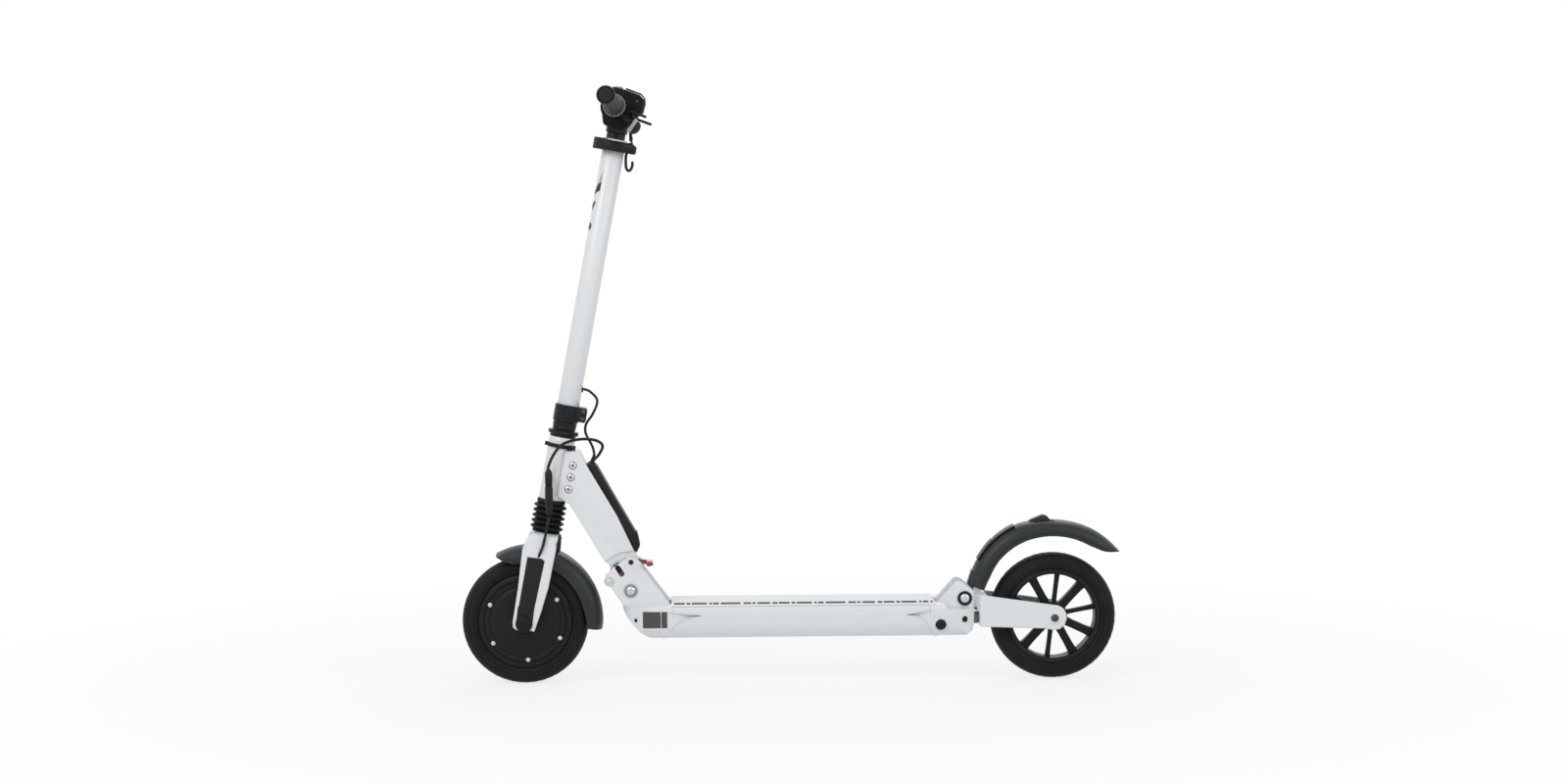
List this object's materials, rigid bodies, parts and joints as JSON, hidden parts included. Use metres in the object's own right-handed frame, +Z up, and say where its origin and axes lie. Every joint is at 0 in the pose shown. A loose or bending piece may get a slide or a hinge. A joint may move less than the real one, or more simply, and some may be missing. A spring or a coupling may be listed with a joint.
{
  "type": "electric kick scooter",
  "caption": "Foldable electric kick scooter: white frame, motor hub in the front wheel, sprung fork, telescopic mast, folding grips, grit deck and a rear fender brake.",
  "frame": {"origin": "middle of the bounding box on the ground, under the middle of the deck", "axes": "+Z up; the scooter faces -X and its rider left is -Y; +Y is the rider right"},
  "size_m": [1.0432, 0.5384, 0.9441],
  "materials": {
    "white_paint": "gloss",
    "black_metal": "satin",
    "bright_steel": "satin",
    "chrome": "polished",
    "tyre_rubber": "matte",
    "black_rubber": "matte",
    "dark_plastic": "satin",
    "black_plastic": "gloss",
    "grey_plastic": "satin",
    "grit_mat": "matte",
    "red_paint": "gloss",
    "copper": "satin",
    "battery_wrap": "satin",
    "elastomer": "matte",
    "display_glass": "polished"
  },
  "bodies": {
    "deck": {"deck_shell": "white_paint", "deck_mat": "grit_mat", "deck_nose": "white_paint", "deck_tail": "white_paint", "battery_pack": "battery_wrap", "fold_bracket": "white_paint", "fold_bolt": "bright_steel", "tail_bracket": "white_paint", "tail_bolt": "bright_steel", "rear_elastomer": "elastomer"},
    "neck": {"neck": "white_paint", "head_tube": "white_paint", "headset_bearing_lower": "bright_steel", "headset_bearing_upper": "bright_steel", "controller_box": "dark_plastic", "cable_band": "black_rubber", "display_cable": "black_rubber", "motor_cable": "black_rubber", "motor_connector": "dark_plastic"},
    "column": {"steerer_tube": "bright_steel", "headset_cap": "black_metal", "stem_collar": "black_metal", "stem_tube": "white_paint", "stem_clamp": "black_metal"},
    "mast": {"mast_tube": "black_metal", "handlebar_pod": "black_plastic", "display_cover": "display_glass", "bell": "chrome"},
    "left_grip": {"grip_bar_left": "black_metal", "grip_collar_left": "grey_plastic", "grip_sleeve_left": "black_rubber"},
    "right_grip": {"grip_bar_right": "black_metal", "grip_collar_right": "grey_plastic", "grip_sleeve_right": "black_rubber"},
    "brake": {"brake_lever": "dark_plastic"},
    "throttle": {"throttle_lever": "dark_plastic"},
    "bell_hammer": {"bell_striker": "dark_plastic"},
    "power_key": {"power_button": "grey_plastic"},
    "clamp_lever": {"quick_release_lever": "black_metal"},
    "fork": {"fork": "white_paint", "fork_panel_left": "dark_plastic", "fork_panel_right": "dark_plastic", "front_fender": "dark_plastic", "front_axle": "bright_steel", "front_stator": "copper", "suspension_gaiter": "black_rubber", "suspension_spring": "bright_steel", "motor_lead": "black_rubber"},
    "front_wheel": {"front_tyre": "tyre_rubber", "front_motor_shell": "black_metal"},
    "pedal": {"release_pedal": "red_paint"},
    "lock": {"lock_pin": "bright_steel"},
    "port_plug": {"charge_plug": "black_rubber"},
    "swingarm": {"swingarm": "white_paint", "rear_axle": "bright_steel"},
    "rear_wheel": {"rear_tyre": "tyre_rubber", "rear_rim": "black_metal", "rear_bearing_cartridge": "bright_steel"},
    "rear_fender": {"rear_fender": "dark_plastic", "brake_shoe": "black_rubber"}
  },
  "joints": [
    {"name": "stem_fold", "type": "hinge", "parent": "deck", "child": "neck", "pos_m": [-0.25435, 0, 0.1483], "axis": [0, 1, 0], "range_deg": [0, 79]},
    {"name": "steering", "type": "hinge", "parent": "neck", "child": "column", "pos_m": [-0.3607, 0, 0.39095], "axis": [0.184, 0, 0.9829], "range_deg": [-45, 45], "deforming": ["display_cable", "motor_cable", "motor_lead"]},
    {"name": "mast_slide", "type": "slide", "parent": "column", "child": "mast", "axis": [0.184, 0, 0.9829], "range_m": [0, 0.22]},
    {"name": "left_grip_fold", "type": "hinge", "parent": "mast", "child": "left_grip", "pos_m": [-0.27076, -0.078, 0.91067], "axis": [0.9829, 0, -0.184], "range_deg": [0, 90]},
    {"name": "right_grip_fold", "type": "hinge", "parent": "mast", "child": "right_grip", "pos_m": [-0.27076, 0.078, 0.91067], "axis": [-0.9829, 0, 0.184], "range_deg": [0, 90]},
    {"name": "brake_thumb", "type": "hinge", "parent": "mast", "child": "brake", "pos_m": [-0.27076, -0.045, 0.91067], "axis": [0, 1, 0], "range_deg": [0, 25], "stiffness_Nm_per_rad": 0.5, "springref_deg": -2.86},
    {"name": "throttle_thumb", "type": "hinge", "parent": "mast", "child": "throttle", "pos_m": [-0.27076, 0.045, 0.91067], "axis": [0, 1, 0], "range_deg": [0, 25], "stiffness_Nm_per_rad": 0.5, "springref_deg": -2.86},
    {"name": "bell_flick", "type": "hinge", "parent": "mast", "child": "bell_hammer", "pos_m": [-0.24676, -0.066, 0.85847], "axis": [0, 1, 0], "range_deg": [0, 25], "stiffness_Nm_per_rad": 0.02, "springref_deg": -2.86},
    {"name": "power_press", "type": "slide", "parent": "mast", "child": "power_key", "axis": [-0.184, 0, -0.9829], "range_m": [0, 0.0015], "stiffness_N_per_m": 800, "springref_m": -0.0003},
    {"name": "clamp_lever_swing", "type": "hinge", "parent": "column", "child": "clamp_lever", "pos_m": [-0.24549, -0.0155, 0.84348], "axis": [-0.184, 0, -0.9829], "range_deg": [-110, 0]},
    {"name": "fork_travel", "type": "slide", "parent": "column", "child": "fork", "axis": [0.184, 0, 0.9829], "range_m": [0, 0.02], "stiffness_N_per_m": 12000, "springref_m": -0.01, "deforming": ["suspension_gaiter", "suspension_spring", "motor_lead"]},
    {"name": "front_wheel_spin", "type": "hinge", "parent": "fork", "child": "front_wheel", "pos_m": [-0.42225, 0, 0.1], "axis": [0, 1, 0], "continuous": true},
    {"name": "release_pedal_press", "type": "hinge", "parent": "deck", "child": "pedal", "pos_m": [-0.25365, -0.028, 0.1936], "axis": [0, 1, 0], "range_deg": [0, 20], "stiffness_Nm_per_rad": 2, "springref_deg": -5.73},
    {"name": "lock_pin_lift", "type": "slide", "parent": "deck", "child": "lock", "axis": [-0.5408, 0, 0.8412], "range_m": [0, 0.0115]},
    {"name": "charge_plug_pull", "type": "slide", "parent": "deck", "child": "port_plug", "axis": [0, -1, 0], "range_m": [0, 0.02]},
    {"name": "rear_suspension", "type": "hinge", "parent": "deck", "child": "swingarm", "pos_m": [0.27465, 0, 0.1316], "axis": [0, -1, 0], "range_deg": [0, 5], "stiffness_Nm_per_rad": 900, "springref_deg": -0.69, "deforming": ["rear_elastomer"]},
    {"name": "rear_wheel_spin", "type": "hinge", "parent": "swingarm", "child": "rear_wheel", "pos_m": [0.41675, 0, 0.1], "axis": [0, 1, 0], "continuous": true},
    {"name": "fender_brake", "type": "hinge", "parent": "swingarm", "child": "rear_fender", "pos_m": [0.29475, 0, 0.1435], "axis": [0, 1, 0], "range_deg": [0, 12], "stiffness_Nm_per_rad": 40, "springref_deg": -1.72}
  ],
  "couplings": [
    {"joint": "lock_pin_lift", "follows": "release_pedal_press", "m_per_rad": 0.032945}
  ]
}
